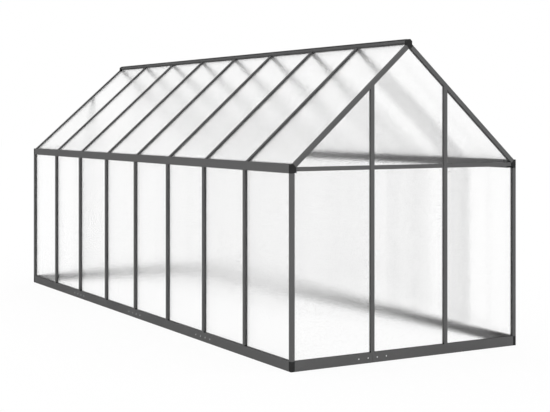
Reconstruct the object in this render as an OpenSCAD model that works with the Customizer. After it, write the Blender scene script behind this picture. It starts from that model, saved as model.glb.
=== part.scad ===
// Ridge-roof greenhouse: a frame of grey aluminium profiles on a spliced base
// beam, black moulded connectors at its corners and twin-wall plastic sheets.
// X runs across the gables, Y along the length and Z up. The origin is in the
// middle of the floor. The gable at -Y is the front, and the wall at -X is left.

/* [Size] */
// Distance between the middles of neighbouring glazing bars
bay = 550; // [450:10:650]
// Number of bays along each long wall
side_bays = 8; // [4:4:12]
// Height of the top of the eaves rails
eaves_z = 1192; // [1000:2:1500]
// Slope of the roof in degrees
roof_pitch = 41.4; // [35:0.1:45]

/* [Frame] */
// Height of the base beam
base_h = 60; // [50:1:90]
// Width of the corner posts, and depth of the base beam and gable frame
post_w = 25; // [22:1:30]
// Radius of the rounded outer edge at each corner of the greenhouse
corner_r = 4; // [4:1:10]
// Height of the eaves rails
rail_h = 53; // [45:1:65]
// Height of the tie across each gable
tie_h = 25; // [20:1:30]
// Face width of a gable rafter
gable_rafter_w = 26; // [22:1:30]
// Wall thickness of the profiles
wall = 2; // [1.5:0.1:2.5]

/* [Glazing] */
// Face width of a glazing bar
bar_w = 26; // [24:1:32]
// Depth of a glazing bar
bar_depth = 23; // [20:1:26]
// How far the bars of the walls and gables stand out from the sheets
wall_out = 14; // [4:0.5:14]
// How far the bars of the roof stand out from the sheets
roof_out = 5; // [4:0.5:8]
// Thickness of the sheets
sheet_t = 4; // [4:0.5:6]

/* [Hidden] */
$fn = 48;
gable_bays = 3;
// From a corner of the greenhouse to the first whole bay
side_gap = 10;
gable_gap = 20;
half_w = gable_bays * bay / 2 + gable_gap;
half_l = side_bays * bay / 2 + side_gap;
side_pieces = 4;
splice_pitch = side_bays * bay / side_pieces;
// Pockets for the heads of the splice bolts, and where they are from a splice
bolt_d = 8.4;
bolt_deep = 1.2;
bolt_steps = [33, 100];
// Width of the line where the bevelled ends of two lengths of base beam meet
splice_line = 2;
eaves_under = eaves_z - rail_h;

// Glazing bars: a lipped face on a box that the sheets stand against
web_w = 20;

// Roof: the slope starts on the outer face of the eaves rail, below its lip,
// and runs to x = 0.
lip_h = 16;
roof_z = eaves_z - lip_h;
slope_len = half_w / cos(roof_pitch);
apex_z = roof_z + half_w * tan(roof_pitch);

// Eaves rails, with a gutter along the top
rail_d = 54;
gutter_w = 14;
gutter_d = 14;

// Eaves connectors end square against the gable rafters.
rafter_foot = lip_h / sin(roof_pitch);
foot_x = lip_h / tan(roof_pitch);
eaves_corner_w = foot_x + gable_rafter_w * sin(roof_pitch);
eaves_chamfer = 15;
moulding = 3;

// The tie stands back from the face of the gable posts.
tie_back = 6;
tie_under = eaves_under + 11;
tie_top = tie_under + tie_h;

// Ridge beam: a crest on a thin neck, a face each side and a body below it
ridge_half = 12;
crest_half = 9;
crest_h = 2.5;
neck_half = 2;
body_half = 5;
ridge_top = apex_z + 18;
ridge_side_z = apex_z + 9;
face_under = apex_z - 5;
ridge_under = apex_z - 17;

// Caps that close the ends of the ridge beam
cap_d = 30;
cap_half = 17;
cap_flat = 3;
cap_top = ridge_top - 1;
cap_side_z = apex_z + 5;
// From the middle to the outer end of a cap's arm, across and down the slope
cap_arm = 25;
rafter_cut = cap_arm / cos(roof_pitch);

frame_grey = [0.37, 0.37, 0.37];
connector_black = [0.15, 0.15, 0.15];
sheet_clear = [0.9, 0.93, 0.94, 0.4];

SIDES = ["left", "right"];
GABLES = ["front", "back"];

// ---- placing -------------------------------------------------------------

// What is drawn for the left wall, or turned half round for the right one
module at_side(side) {
    rotate([0, 0, side == "left" ? 0 : 180]) children();
}

// What is drawn for the front gable, or turned half round for the back one
module at_gable(gable) {
    rotate([0, 0, gable == "front" ? 0 : 180]) children();
}

// The four corners: the child is drawn for the front left one.
module at_corner(gable, side) {
    mirror([side == "left" ? 0 : 1, 0, 0])
        mirror([0, gable == "front" ? 0 : 1, 0])
            children();
}

// Axes of the left roof slope: X up the slope, Z out of it
module on_left_slope() {
    translate([-half_w, 0, roof_z]) rotate([0, -roof_pitch, 0]) children();
}

// An outline drawn in X and Z, extruded along +Y from y
module gable_extrude(y, depth) {
    translate([0, y + depth, 0]) rotate([90, 0, 0])
        linear_extrude(depth) children();
}

// ---- sections ------------------------------------------------------------

// Square with a rounded corner at its origin
module rounded_corner_square(size, r) {
    translate([r, r]) circle(r);
    translate([r, 0]) square([size - r, size]);
    translate([0, r]) square([size, size - r]);
}

// Hollow section of a corner post, its rounded edge at the origin
module corner_section(t) {
    difference() {
        rounded_corner_square(post_w, corner_r);
        translate([t, t])
            rounded_corner_square(post_w - 2 * t, corner_r - t);
    }
}

// Base channel, open to the inside: X is depth and Y is height
module base_section() {
    difference() {
        square([post_w, base_h]);
        translate([wall, wall]) square([post_w, base_h - 2 * wall]);
    }
}

// Hollow rectangle
module tube_section(w, h) {
    difference() {
        square([w, h]);
        translate([wall, wall]) square([w - 2 * wall, h - 2 * wall]);
    }
}

// Glazing bar, its face at y = 0 and its depth along +Y. The sheets stand
// against the sides of its box, behind lips of depth `out` on its face.
module bar_section(out) {
    translate([-bar_w / 2, 0]) square([bar_w, wall]);
    for (x = [-bar_w / 2, bar_w / 2 - wall])
        translate([x, 0]) square([wall, out]);
    translate([-web_w / 2, 0]) tube_section(web_w, bar_depth);
}

// ---- base ----------------------------------------------------------------

// Cuts in the outer face of a base beam that runs along X from a splice
module splice_cuts() {
    translate([-splice_line / 2, -1, -1])
        cube([splice_line, bolt_deep + 1, base_h + 2]);
    for (m = [0, 1], step = bolt_steps)
        mirror([m, 0, 0])
            translate([step, bolt_deep, base_h / 2])
                rotate([90, 0, 0]) cylinder(h = 2 * bolt_deep, d = bolt_d);
}

// The n-th length of the left base beam, between corners and splices
module side_base_piece(n) {
    splices = [for (i = [n - 1, n]) -half_l + side_gap + i * splice_pitch];
    y0 = n == 1 ? -half_l + post_w : splices[0];
    y1 = n == side_pieces ? half_l - post_w : splices[1];
    color(frame_grey)
        difference() {
            translate([-half_w, y1, 0]) rotate([90, 0, 0])
                linear_extrude(y1 - y0) base_section();
            for (i = [0, 1])
                if (n - 1 + i > 0 && n - 1 + i < side_pieces)
                    translate([-half_w, splices[i], 0])
                        rotate([0, 0, -90]) splice_cuts();
        }
}

// One length of the front base beam, from x0 to x1
module gable_base(x0, x1) {
    color(frame_grey)
        difference() {
            translate([x0, -half_l, 0]) rotate([90, 0, 90])
                linear_extrude(x1 - x0) base_section();
            translate([-bay / 2, -half_l, 0]) splice_cuts();
        }
}

// The two lengths of the front base beam meet under its left post.
module gable_base_piece(n) {
    if (n == 1) gable_base(-half_w + post_w, -bay / 2);
    else gable_base(-bay / 2, half_w - post_w);
}

module base_corners() {
    color(connector_black)
        for (gable = GABLES, side = SIDES)
            at_corner(gable, side)
                translate([-half_w, -half_l, 0])
                    linear_extrude(base_h) corner_section(moulding);
}

// ---- upright frame -------------------------------------------------------

module corner_post() {
    color(frame_grey)
        translate([-half_w, -half_l, base_h])
            linear_extrude(eaves_under - base_h) corner_section(wall);
}

module side_posts() {
    color(frame_grey)
        for (i = [1 : side_bays - 1])
            translate([-half_w, i * bay - half_l + side_gap, base_h])
                rotate([0, 0, -90])
                    linear_extrude(eaves_under - base_h) bar_section(wall_out);
}

// Front gable posts, cut along the underside of the rafters
module gable_posts() {
    color(frame_grey)
        intersection() {
            for (x = [-bay / 2, bay / 2])
                translate([x, -half_l, base_h])
                    linear_extrude(apex_z) bar_section(wall_out);
            gable_extrude(-half_l - 1, bar_depth + 2) under_rafters(base_h);
        }
}

// Area of the gable between height z0 and the underside of its rafters
module under_rafters(z0) {
    drop = gable_rafter_w / cos(roof_pitch);
    polygon([
        [-half_w, z0], [half_w, z0],
        [half_w, roof_z - drop], [0, apex_z - drop], [-half_w, roof_z - drop]
    ]);
}

// ---- eaves ---------------------------------------------------------------

// Hollow eaves rail, open along the gutter: X is depth and Y is height
module rail_section() {
    floor_z = rail_h - gutter_d;
    inner_x = wall + gutter_w;
    difference() {
        square([rail_d, rail_h]);
        translate([wall, floor_z]) square([gutter_w, gutter_d + 1]);
        translate([wall, wall])
            square([rail_d - 2 * wall, floor_z - 2 * wall]);
        translate([inner_x + wall, wall])
            square([rail_d - inner_x - 2 * wall, rail_h - 2 * wall]);
    }
}

module eaves_rail() {
    length = 2 * (half_l - post_w);
    color(frame_grey)
        translate([-half_w, length / 2, eaves_under]) rotate([90, 0, 0])
            linear_extrude(length) rail_section();
}

// Face of the left eaves connector, in X and Z
module eaves_corner_face() {
    w = eaves_corner_w;
    c = eaves_chamfer;
    translate([-half_w, eaves_under])
        polygon([
            [0, 0], [w - c, 0], [w, c],
            [w, rail_h - gable_rafter_w * cos(roof_pitch)],
            [foot_x, rail_h], [0, rail_h]
        ]);
}

module eaves_corner() {
    intersection() {
        gable_extrude(-half_l, post_w) eaves_corner_face();
        translate([-half_w, -half_l, eaves_under]) linear_extrude(rail_h)
            rounded_corner_square(eaves_corner_w, corner_r);
    }
}

module eaves_corners() {
    color(connector_black)
        for (gable = GABLES, side = SIDES)
            at_corner(gable, side) eaves_corner();
}

// Front tie: three lengths between the corners and the posts, the outer two
// trimmed under the rafters
module gable_tie() {
    depth = post_w - tie_back;
    inner = bay / 2 - bar_w / 2;
    outer = bay / 2 + bar_w / 2;
    end = half_w - eaves_corner_w;
    color(frame_grey)
        intersection() {
            for (span = [[-end, -outer], [-inner, inner], [outer, end]])
                translate([span[0], -half_l + tie_back, tie_under])
                    rotate([90, 0, 90])
                        linear_extrude(span[1] - span[0])
                            tube_section(depth, tie_h);
            gable_extrude(-half_l, post_w) under_rafters(0);
        }
}

// ---- roof ----------------------------------------------------------------

// Keeps what is above the left eaves rail and clear of the ridge beam
module above_eaves() {
    intersection() {
        children();
        gable_extrude(-half_l, 2 * half_l) translate([-half_w, eaves_z]) {
            square([half_w - ridge_half, apex_z]);
            square([half_w - body_half, face_under - eaves_z]);
        }
    }
}

// Gable rafter, square at both ends
module gable_rafter() {
    color(frame_grey)
        on_left_slope()
            translate([rafter_foot, -half_l, -gable_rafter_w])
                rotate([90, 0, 90])
                    linear_extrude(slope_len - rafter_cut - rafter_foot)
                        tube_section(post_w, gable_rafter_w);
}

module rafters() {
    color(frame_grey)
        above_eaves()
            for (i = [1 : side_bays - 1])
                on_left_slope()
                    translate([0, i * bay - half_l + side_gap, 0])
                        rotate([0, 90, 0]) rotate([0, 0, -90])
                            linear_extrude(slope_len) bar_section(roof_out);
}

// Rectangle in X and Z, w wide each side of the middle
module ridge_band(w, z0, z1) {
    translate([-w, z0]) square([2 * w, z1 - z0]);
}

// Outline of the ridge beam, drawn in X and Z
module ridge_outline() {
    ridge_band(crest_half, ridge_top - crest_h, ridge_top);
    ridge_band(neck_half, ridge_side_z - 1, ridge_top - 1);
    ridge_band(ridge_half, face_under, ridge_side_z);
    ridge_band(body_half, ridge_under, ridge_side_z);
}

// The hollow of the ridge beam
module ridge_hollow() {
    ridge_band(ridge_half - wall, face_under + wall, ridge_side_z - wall);
    ridge_band(body_half - wall, ridge_under + wall, ridge_side_z - wall);
}

module ridge_beam() {
    end = half_l - cap_d;
    color(frame_grey)
        gable_extrude(-end, 2 * end)
            difference() {
                ridge_outline();
                ridge_hollow();
            }
}

// Right half of a ridge cap: a peaked top and an arm down to the rafter
function cap_half_points() =
    let (
        c = cos(roof_pitch), s = sin(roof_pitch),
        arm_z = apex_z - cap_arm * tan(roof_pitch)
    ) [
        [cap_flat, cap_top], [cap_half, cap_side_z],
        [cap_half, apex_z - cap_half * tan(roof_pitch)],
        [cap_arm, arm_z],
        [cap_arm - gable_rafter_w * s, arm_z - gable_rafter_w * c]
    ];

module cap_outline() {
    right = cap_half_points();
    left = [for (i = [len(right) - 1 : -1 : 0]) [-right[i][0], right[i][1]]];
    polygon(concat(right, left));
}

// Front ridge cap: it reaches back past the rafters to the ridge beam.
module ridge_cap() {
    side_z = apex_z - cap_half * tan(roof_pitch);
    gable_extrude(-half_l, post_w) cap_outline();
    gable_extrude(-half_l, cap_d) {
        intersection() {
            cap_outline();
            translate([-cap_half, side_z]) square([2 * cap_half, ridge_top]);
        }
        intersection() {
            ridge_outline();
            translate([-ridge_half, 0]) square([2 * ridge_half, cap_side_z]);
        }
    }
}

module ridge_caps() {
    color(connector_black)
        for (gable = GABLES) at_gable(gable) ridge_cap();
}

// ---- sheets --------------------------------------------------------------

// Ends of the i-th space between the webs of the bars along a long wall
function sheet_start(i) =
    i == 1 ? -half_l + post_w : -half_l + side_gap + (i - 1) * bay + web_w / 2;
function sheet_end(i) =
    i == side_bays ? half_l - post_w : -half_l + side_gap + i * bay - web_w / 2;

module wall_sheets() {
    color(sheet_clear)
        for (i = [1 : side_bays])
            translate([-half_w + wall_out, sheet_start(i), base_h])
                cube([sheet_t, sheet_end(i) - sheet_start(i), eaves_under - base_h]);
}

module roof_sheets() {
    color(sheet_clear)
        above_eaves()
            for (i = [1 : side_bays])
                on_left_slope()
                    translate([0, sheet_start(i), -roof_out - sheet_t])
                        cube([slope_len, sheet_end(i) - sheet_start(i), sheet_t]);
}

// Spaces between the gable's corner posts and posts, as [x0, x1]
GABLE_SPANS = [
    [-half_w + post_w, -bay / 2 - web_w / 2],
    [-bay / 2 + web_w / 2, bay / 2 - web_w / 2],
    [bay / 2 + web_w / 2, half_w - post_w]
];

// Front gable sheets between z0 and z1, clear of the connectors and rafters
module gable_sheets(z0, z1) {
    color(sheet_clear)
        for (span = GABLE_SPANS)
            gable_extrude(-half_l + wall_out, sheet_t)
                difference() {
                    intersection() {
                        under_rafters(z0);
                        translate([span[0], z0])
                            square([span[1] - span[0], z1 - z0]);
                    }
                    cap_outline();
                    for (m = [0, 1]) mirror([m, 0]) eaves_corner_face();
                }
}

// ---- nodes ---------------------------------------------------------------

for (side = SIDES) at_side(side)
    for (n = [1 : side_pieces])
        side_base_piece(n);

for (gable = GABLES) at_gable(gable)
    for (n = [1 : 2])
        gable_base_piece(n);

base_corners();

for (gable = GABLES, side = SIDES) at_corner(gable, side) {
    corner_post();
    gable_rafter();
}

for (side = SIDES) at_side(side) {
    side_posts();
    eaves_rail();
    rafters();
    wall_sheets();
    roof_sheets();
}

for (gable = GABLES) at_gable(gable) {
    gable_posts();
    gable_tie();
    gable_sheets(base_h, tie_under);
    gable_sheets(tie_top, apex_z);
}

eaves_corners();
ridge_beam();
ridge_caps();
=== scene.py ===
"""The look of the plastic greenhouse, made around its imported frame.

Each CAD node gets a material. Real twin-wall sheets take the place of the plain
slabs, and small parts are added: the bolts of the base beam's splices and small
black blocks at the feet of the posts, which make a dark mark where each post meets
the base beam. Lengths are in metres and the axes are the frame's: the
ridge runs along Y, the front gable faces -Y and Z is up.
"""
import math
import random

import bmesh
import bpy
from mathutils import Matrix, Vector


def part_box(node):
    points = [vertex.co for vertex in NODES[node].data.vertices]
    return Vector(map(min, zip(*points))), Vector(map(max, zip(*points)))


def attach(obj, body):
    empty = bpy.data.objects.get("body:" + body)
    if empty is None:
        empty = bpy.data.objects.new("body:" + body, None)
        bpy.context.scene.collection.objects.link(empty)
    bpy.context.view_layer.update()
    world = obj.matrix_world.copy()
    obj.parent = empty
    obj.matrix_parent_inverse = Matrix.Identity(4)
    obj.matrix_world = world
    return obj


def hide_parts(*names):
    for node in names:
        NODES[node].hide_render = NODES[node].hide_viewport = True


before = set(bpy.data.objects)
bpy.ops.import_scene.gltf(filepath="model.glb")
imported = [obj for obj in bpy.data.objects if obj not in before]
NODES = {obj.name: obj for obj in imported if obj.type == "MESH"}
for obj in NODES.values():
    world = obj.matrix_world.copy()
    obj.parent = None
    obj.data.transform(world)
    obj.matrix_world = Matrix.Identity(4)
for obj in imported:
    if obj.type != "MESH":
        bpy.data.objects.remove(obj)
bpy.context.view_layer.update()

X, Y, Z = Vector((1, 0, 0)), Vector((0, 1, 0)), Vector((0, 0, 1))


# ---- node helpers ----------------------------------------------------------

def new_material(name):
    mat = bpy.data.materials.new(name)
    mat.use_nodes = True
    tree = mat.node_tree
    tree.nodes.clear()
    return mat, tree


def add(tree, kind, **inputs):
    """A new node, with the values of its input sockets."""
    node = tree.nodes.new(kind)
    for key, value in inputs.items():
        node.inputs[key].default_value = value
    return node


def principled(tree, base, roughness, specular, metallic=0.0):
    shader = tree.nodes.new("ShaderNodeBsdfPrincipled")
    shader.inputs["Base Color"].default_value = (*base, 1.0)
    shader.inputs["Roughness"].default_value = roughness
    shader.inputs["Specular IOR Level"].default_value = specular
    shader.inputs["Metallic"].default_value = metallic
    out = tree.nodes.new("ShaderNodeOutputMaterial")
    tree.links.new(shader.outputs[0], out.inputs["Surface"])
    return shader


def ramp(tree, fac, stops):
    node = tree.nodes.new("ShaderNodeValToRGB")
    for element, (position, colour) in zip(node.color_ramp.elements, stops):
        element.position = position
        element.color = (*colour, 1.0)
    tree.links.new(fac, node.inputs["Fac"])
    return node.outputs["Color"]


def bump(tree, shader, height, strength, distance):
    node = add(tree, "ShaderNodeBump", Strength=strength, Distance=distance)
    tree.links.new(height, node.inputs["Height"])
    tree.links.new(node.outputs["Normal"], shader.inputs["Normal"])


def noise(tree, coords, scale, detail=3.0):
    node = add(tree, "ShaderNodeTexNoise", Scale=scale, Detail=detail)
    tree.links.new(coords, node.inputs["Vector"])
    return node.outputs["Fac"]


def object_coords(tree, scale=(1, 1, 1)):
    coords = tree.nodes.new("ShaderNodeTexCoord")
    mapping = add(tree, "ShaderNodeMapping", Scale=scale)
    tree.links.new(coords.outputs["Object"], mapping.inputs["Vector"])
    return mapping.outputs["Vector"]


# ---- materials -------------------------------------------------------------

def grey(value):
    return (value, value, value)


def grained(name, base, roughness, specular, metallic, tone, shades, grain, relief):
    """A surface that drifts between two shades and has a fine grain.
    `tone` and `grain` give the scale and detail of a noise, `shades` the two
    colours with their places in the tone, `relief` the grain's strength and depth."""
    mat, tree = new_material(name)
    shader = principled(tree, base, roughness, specular, metallic)
    coords = object_coords(tree)
    colour = ramp(tree, noise(tree, coords, *tone), shades)
    tree.links.new(colour, shader.inputs["Base Color"])
    bump(tree, shader, noise(tree, coords, *grain), *relief)
    return mat


SHEET_IOR = 1.12              # low, so that grazing skins don't mirror the surroundings
SHEET_HAZE = (0.010, 0.030)   # lowest and highest roughness of a sheet
WAVE_DEPTH = 0.002


def clear_sheet(name, lines, waves):
    """Clear plastic with streaks along its channels, and faintly wavy.
    `lines` and `waves` say how close the streaks and waves are along X, Y and Z."""
    mat, tree = new_material(name)
    shader = principled(tree, grey(1.0), 0.02, 0.5)
    shader.inputs["Transmission Weight"].default_value = 1.0
    shader.inputs["IOR"].default_value = SHEET_IOR
    streaks = noise(tree, object_coords(tree, lines), 1.0)
    haze = ramp(tree, streaks, [(0.3, grey(SHEET_HAZE[0])), (0.7, grey(SHEET_HAZE[1]))])
    tree.links.new(haze, shader.inputs["Roughness"])
    height = noise(tree, object_coords(tree, waves), 1.0, 1.0)
    bump(tree, shader, height, 1.0, WAVE_DEPTH)
    return mat


FRAME = grained(
    "frame_grey", base=grey(0.150), roughness=0.5, specular=0.0, metallic=0.0,
    tone=(3.0, 4.0), shades=[(0.3, (0.143, 0.143, 0.144)), (0.7, grey(0.157))],
    grain=(1400.0, 2.0), relief=(0.15, 0.0001))
BLACK = grained(
    "connector_black", base=grey(0.040), roughness=0.45, specular=0.0, metallic=0.0,
    tone=(14.0, 3.0), shades=[(0.35, grey(0.036)), (0.65, grey(0.044))],
    grain=(900.0, 3.0), relief=(0.25, 0.0002))
# the waves are closest along the channels: up the walls, up the slope of the roof
CLEAR_WALL = clear_sheet("twin_wall_clear", (30, 30, 3), (60, 60, 150))
CLEAR_ROOF = clear_sheet("twin_wall_clear_roof", (3, 30, 3), (150, 60, 150))
ZINC = grained(
    "zinc_plate", base=(0.89, 0.89, 0.90), roughness=0.35, specular=0.5, metallic=1.0,
    tone=(160.0, 3.0),
    shades=[(0.35, (0.84, 0.84, 0.85)), (0.65, (0.94, 0.94, 0.95))],
    grain=(600.0, 2.0), relief=(0.1, 0.0001))

MOULDED = ("base_corners", "eaves_corners", "ridge_caps")


def sheet_material(node):
    return CLEAR_ROOF if "roof" in node else CLEAR_WALL


for name, obj in NODES.items():
    if name in MOULDED:
        mat = BLACK
    elif "sheets" in name:
        mat = sheet_material(name)
    else:
        mat = FRAME
    obj.data.materials.clear()
    obj.data.materials.append(mat)


# ---- mesh helpers ----------------------------------------------------------

PLACES = 5            # decimals to which two vertices at one place agree


def slabs(obj):
    """The vertices of each separate slab or bar of a node. Edges and shared places
    join its vertices into groups, one for each slab."""
    mesh = obj.data
    group = list(range(len(mesh.vertices)))

    def find(i):
        while group[i] != i:
            group[i] = group[group[i]]
            i = group[i]
        return i

    seen = {}
    for v in mesh.vertices:
        key = tuple(round(c, PLACES) for c in v.co)
        if key in seen:
            group[find(v.index)] = find(seen[key])
        seen[key] = v.index
    for e in mesh.edges:
        a, b = e.vertices
        group[find(a)] = find(b)
    parts = {}
    for v in mesh.vertices:
        parts.setdefault(find(v.index), []).append(v.co.copy())
    return list(parts.values())


def ring_faces(faces, start, rings, count):
    """The sides and ends of a solid whose vertices are rings of `count` each."""
    last = start + (rings - 1) * count
    for ring in range(start, last, count):
        for k in range(count):
            a, b = ring + k, ring + (k + 1) % count
            faces.append((a, b, b + count, a + count))
    for ring in (start, last):
        faces.append([ring + k for k in range(count)])


def new_piece(name, verts, faces, mat):
    mesh = bpy.data.meshes.new(name)
    mesh.from_pydata(verts, [], faces)
    mesh.validate()
    bm = bmesh.new()
    bm.from_mesh(mesh)
    bmesh.ops.recalc_face_normals(bm, faces=bm.faces)
    bm.to_mesh(mesh)
    bm.free()
    mesh.materials.append(mat)
    obj = bpy.data.objects.new(name, mesh)
    bpy.context.scene.collection.objects.link(obj)
    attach(obj, "root")
    return obj


# ---- twin-wall sheets ------------------------------------------------------

CELL = 0.006          # width of one channel of a sheet
WEB = 0.0004          # thickness of the rib between two channels
SKIN = 0.00045        # thickness of each skin, halfway between two ribs
ARC = 6               # straight steps across one channel
UNEVEN = (0.9, 1.0)   # how far the curve of a skin varies from channel to channel
POINT = 0.0001        # height left at the pointed end of a three-cornered sheet
SMOOTH_BELOW = math.radians(35)     # sharper edges than this stay sharp
# slope of a skin where it meets a rib, for each kind of sheet
SAG = {"wall": 0.9, "roof": 1.0, "gable": 0.6}


def top_corners(us, vs):
    """The corners (u, v) of a slab's top edge, in order of u."""
    low = min(vs)
    tops = {}
    for u, v in zip(us, vs):
        if v > low + 10 ** -PLACES:
            key = round(u, PLACES)
            tops[key] = max(v, tops.get(key, v))
    for end in (min(us), max(us)):
        tops.setdefault(round(end, PLACES), low + POINT)
    return sorted(tops.items())


def height_at(corners, u):
    """The v of the top edge at u."""
    for (a, va), (b, vb) in zip(corners, corners[1:]):
        if u <= b:
            return va + (vb - va) * min(max((u - a) / (b - a), 0.0), 1.0)
    return corners[-1][1]


def hollow_slab(verts, faces, points, across, along, outward, slope, rnd):
    """A slab of two thin skins joined by ribs, with open channels that run
    along `along`. Each skin is a little thicker towards the ribs."""
    us = [p.dot(across) for p in points]
    vs = [p.dot(along) for p in points]
    ws = [p.dot(outward) for p in points]
    u0, u1, v0 = min(us), max(us), min(vs)
    w_out, depth = max(ws), max(ws) - min(ws)
    corners = top_corners(us, vs)

    def pair(u, deep):
        """The two ends of one long edge, `deep` below the outer face."""
        for v in (v0, height_at(corners, u)):
            verts.append(across * u + along * v + outward * (w_out - deep))
        return len(verts) - 2, len(verts) - 1

    cells = max(1, round((u1 - u0) / CELL))
    width = (u1 - u0) / cells
    outer, inner = pair(u0, 0.0), pair(u0, depth)
    first = (outer, inner)
    for i in range(cells):
        a, b = u0 + width * i, u0 + width * (i + 1)
        sag = slope * (width - WEB) / 4.0 * rnd.uniform(*UNEVEN)
        upper, lower = [], []
        for k in range(ARC + 1):
            s = k / ARC
            u = a + WEB / 2 + (width - WEB) * s
            thick = SKIN + sag * (2.0 * s - 1.0) ** 2
            upper.append(pair(u, thick))
            lower.append(pair(u, depth - thick))
        next_outer, next_inner = pair(b, 0.0), pair(b, depth)
        faces.append((outer[0], next_outer[0], next_outer[1], outer[1]))
        faces.append((inner[0], inner[1], next_inner[1], next_inner[0]))
        ring = upper + lower[::-1]
        for p, q in zip(ring, ring[1:] + ring[:1]):
            faces.append((p[0], p[1], q[1], q[0]))
        for end in (0, 1):
            faces.append([outer[end]] + [p[end] for p in upper] + [next_outer[end]])
            faces.append([inner[end]] + [p[end] for p in lower] + [next_inner[end]])
            faces.append((outer[end], upper[0][end], lower[0][end], inner[end]))
            faces.append((next_outer[end], upper[-1][end],
                          lower[-1][end], next_inner[end]))
        outer, inner = next_outer, next_inner
    for o, n in (first, (outer, inner)):
        faces.append((o[0], o[1], n[1], n[0]))


def twin_wall(node, across, along, outward):
    """Hollow sheets in the place of a node's plain slabs."""
    verts, faces = [], []
    rnd = random.Random(node)
    slope = SAG[node.split("_")[0]]
    for points in slabs(NODES[node]):
        hollow_slab(verts, faces, points, across, along, outward, slope, rnd)
    obj = new_piece("twin_wall_" + node, verts, faces, sheet_material(node))
    obj.data.polygons.foreach_set("use_smooth", [True] * len(obj.data.polygons))
    obj.data.set_sharp_from_angle(angle=SMOOTH_BELOW)
    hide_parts(node)


PITCH = math.radians(41.4)    # of the roof, as in the CAD model
UP_LEFT = Vector((math.cos(PITCH), 0, math.sin(PITCH)))
OUT_LEFT = Vector((-math.sin(PITCH), 0, math.cos(PITCH)))
UP_RIGHT = Vector((-math.cos(PITCH), 0, math.sin(PITCH)))
OUT_RIGHT = Vector((math.sin(PITCH), 0, math.cos(PITCH)))

twin_wall("wall_sheets_left", Y, Z, -X)
twin_wall("wall_sheets_right", Y, Z, X)
twin_wall("roof_sheets_left", Y, UP_LEFT, OUT_LEFT)
twin_wall("roof_sheets_right", Y, UP_RIGHT, OUT_RIGHT)
for level in ("lower", "upper"):
    twin_wall(f"gable_sheets_front_{level}", X, Z, -Y)
    twin_wall(f"gable_sheets_back_{level}", X, Z, Y)


# ---- splice bolts ----------------------------------------------------------

BOLT_R = 0.0041       # radius of a bolt head
BOLT_H = 0.0011       # height of a bolt head, standing in its pocket
BOLT_SIDES = 24
BOLT_STEPS = (-0.100, -0.033, 0.033, 0.100)     # places of bolts beside a splice
POCKET = 0.0012       # depth of a bolt's pocket in the base beam
SUNK = 0.00002        # depth of a bolt's back in the bottom of its pocket
# radius and height of each ring of a bolt head, as parts of BOLT_R and BOLT_H, and
# whether the ring is six-sided
BOLT_RINGS = ((1.0, 0.0, False), (1.0, 0.35, False), (0.88, 0.75, False),
              (0.68, 1.0, False), (0.50, 1.0, True), (0.50, 0.3, True))


def bolt_head(verts, faces, centre, along, outward):
    """A low domed head with a six-sided socket. Its back is at centre."""
    up = outward.cross(along)
    start, half = len(verts), math.pi / 6
    for radius, height, six in BOLT_RINGS:
        for k in range(BOLT_SIDES):
            turn = 2.0 * math.pi * k / BOLT_SIDES
            r = radius * BOLT_R
            if six:
                r *= math.cos(half) / math.cos(turn % (math.pi / 3) - half)
            verts.append(centre + outward * (height * BOLT_H)
                         + (along * math.cos(turn) + up * math.sin(turn)) * r)
    ring_faces(faces, start, len(BOLT_RINGS), BOLT_SIDES)


def splice_bolts(name, splices, along, outward):
    """Bolts in the pockets of the base beam, given the middles of its splices."""
    verts, faces = [], []
    sunk = outward * (POCKET + SUNK)
    for splice in splices:
        for step in BOLT_STEPS:
            bolt_head(verts, faces, splice + along * step - sunk, along, outward)
    new_piece(name, verts, faces, ZINC)


MID_Z = (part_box("base_left_1")[0].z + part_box("base_left_1")[1].z) / 2
for side, sign in (("left", -1), ("right", 1)):
    face_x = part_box(f"base_{side}_1")[0 if sign < 0 else 1].x
    ends = [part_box(f"base_{side}_{n}")[1 if sign < 0 else 0].y for n in (1, 2, 3)]
    splices = [Vector((face_x, y, MID_Z)) for y in ends]
    splice_bolts(f"bolts_{side}", splices, Y, X * sign)
for gable, sign in (("front", -1), ("back", 1)):
    face_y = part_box(f"base_{gable}_1")[0 if sign < 0 else 1].y
    end_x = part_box(f"base_{gable}_1")[1 if sign < 0 else 0].x
    splice_bolts(f"bolts_{gable}", [Vector((end_x, face_y, MID_Z))], X, Y * sign)


# ---- feet of the posts -----------------------------------------------------

BLOCK_DEPTHS = (0.0008, 0.0132)      # a block's two ends, behind the post's face
# outline of a block: how far it stands out beside the post, and its height
BLOCK_OUTLINE = ((0.0, 0.0), (0.0014, 0.0), (0.0014, 0.0062), (0.0009, 0.0078),
                (0.0, 0.0082))


def foot_blocks(node, along, outward):
    """A small black block on each side of the foot of every post in a node. It makes a
    dark mark where the post meets the base beam.
    """
    verts, faces = [], []
    for points in slabs(NODES[node]):
        us = [p.dot(along) for p in points]
        face = max(p.dot(outward) for p in points)
        foot = min(p.z for p in points)
        for u, sign in ((min(us), -1), (max(us), 1)):
            start = len(verts)
            for depth in BLOCK_DEPTHS:
                for out, height in BLOCK_OUTLINE:
                    verts.append(along * (u + sign * out) + outward * (face - depth)
                                 + Z * (foot + height))
            ring_faces(faces, start, len(BLOCK_DEPTHS), len(BLOCK_OUTLINE))
    # black blocks, for the dark mark at the foot of each post
    obj = new_piece(node.replace("posts", "post_foot_blocks"), verts, faces, BLACK)


foot_blocks("side_posts_left", Y, -X)
foot_blocks("side_posts_right", Y, X)
foot_blocks("gable_posts_front", X, -Y)
foot_blocks("gable_posts_back", X, Y)


# ---- stage -----------------------------------------------------------------

FLOOR_REACH = 60.0    # far enough that its edge is never seen
FLOOR_Z = -0.001
FLOOR_LIT = 0.8       # what the floor gives back to the object
FLOOR_SEEN = 0.08     # the part of the seen floor that takes the shadow
FLOOR_GLOW = 0.93     # the part of the seen floor that is white anyway
WORLD_LIGHT = 0.9
WORLD_SEEN = 1.0


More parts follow.
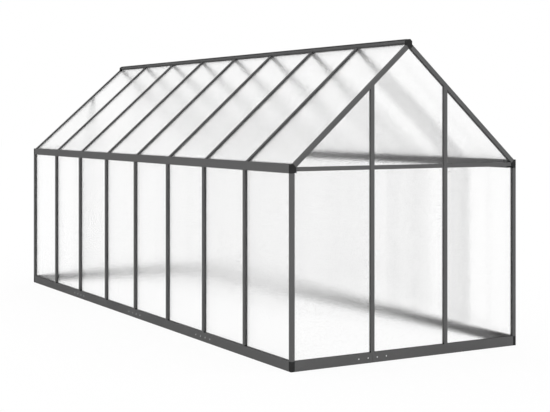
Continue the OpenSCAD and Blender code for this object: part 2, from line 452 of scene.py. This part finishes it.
def viewer_ray(tree):
    """1 for camera, glossy and transmission rays, otherwise 0."""
    path = tree.nodes.new("ShaderNodeLightPath")
    total = path.outputs["Is Camera Ray"]
    for name in ("Is Glossy Ray", "Is Transmission Ray"):
        node = tree.nodes.new("ShaderNodeMath")
        node.operation = "MAXIMUM"
        tree.links.new(total, node.inputs[0])
        tree.links.new(path.outputs[name], node.inputs[1])
        total = node.outputs[0]
    return total


def lit_and_seen(tree, output, lit, seen):
    """The shader `seen` for the rays that show it, and `lit` for those that light."""
    out = tree.nodes.new(output)
    mix = tree.nodes.new("ShaderNodeMixShader")
    tree.links.new(viewer_ray(tree), mix.inputs[0])
    tree.links.new(lit.outputs[0], mix.inputs[1])
    tree.links.new(seen.outputs[0], mix.inputs[2])
    tree.links.new(mix.outputs[0], out.inputs["Surface"])


def make_floor():
    mesh = bpy.data.meshes.new("floor")
    r = FLOOR_REACH
    corners = [(x, y, FLOOR_Z) for x, y in ((-r, -r), (r, -r), (r, r), (-r, r))]
    mesh.from_pydata(corners, [], [(0, 1, 2, 3)])
    obj = bpy.data.objects.new("floor", mesh)
    bpy.context.scene.collection.objects.link(obj)
    mat, tree = new_material("floor_pale")
    matt = add(tree, "ShaderNodeBsdfDiffuse", Color=(*grey(FLOOR_LIT), 1.0))
    pale = add(tree, "ShaderNodeBsdfDiffuse", Color=(*grey(FLOOR_SEEN), 1.0))
    glow = add(tree, "ShaderNodeEmission", Strength=FLOOR_GLOW)
    seen = tree.nodes.new("ShaderNodeAddShader")
    tree.links.new(pale.outputs[0], seen.inputs[0])
    tree.links.new(glow.outputs[0], seen.inputs[1])
    lit_and_seen(tree, "ShaderNodeOutputMaterial", matt, seen)
    mesh.materials.append(mat)


def make_world():
    world = bpy.data.worlds.new("studio")
    bpy.context.scene.world = world
    world.use_nodes = True
    tree = world.node_tree
    tree.nodes.clear()
    white = (*grey(1.0), 1.0)
    soft = add(tree, "ShaderNodeBackground", Color=white, Strength=WORLD_LIGHT)
    seen = add(tree, "ShaderNodeBackground", Color=white, Strength=WORLD_SEEN)
    lit_and_seen(tree, "ShaderNodeOutputWorld", soft, seen)


def make_camera():
    data = bpy.data.cameras.new("camera")
    data.sensor_width = 36.0
    data.lens = 78.61
    data.shift_x = 0.0332
    data.shift_y = -0.1564
    data.clip_end = 500.0
    camera = bpy.data.objects.new("camera", data)
    camera.location = (-4.4174, -8.0888, 1.4459)
    camera.rotation_euler = (math.radians(90.0), 0.0, -0.5175)
    return camera


make_floor()
make_world()

scene = bpy.context.scene
camera = make_camera()
scene.collection.objects.link(camera)
scene.camera = camera

scene.view_settings.view_transform = "Standard"
# a line of sight crosses many skins, each of them two surfaces
scene.cycles.max_bounces = 64
scene.cycles.diffuse_bounces = 4
scene.cycles.glossy_bounces = 32
scene.cycles.transmission_bounces = 64
scene.cycles.transparent_max_bounces = 16
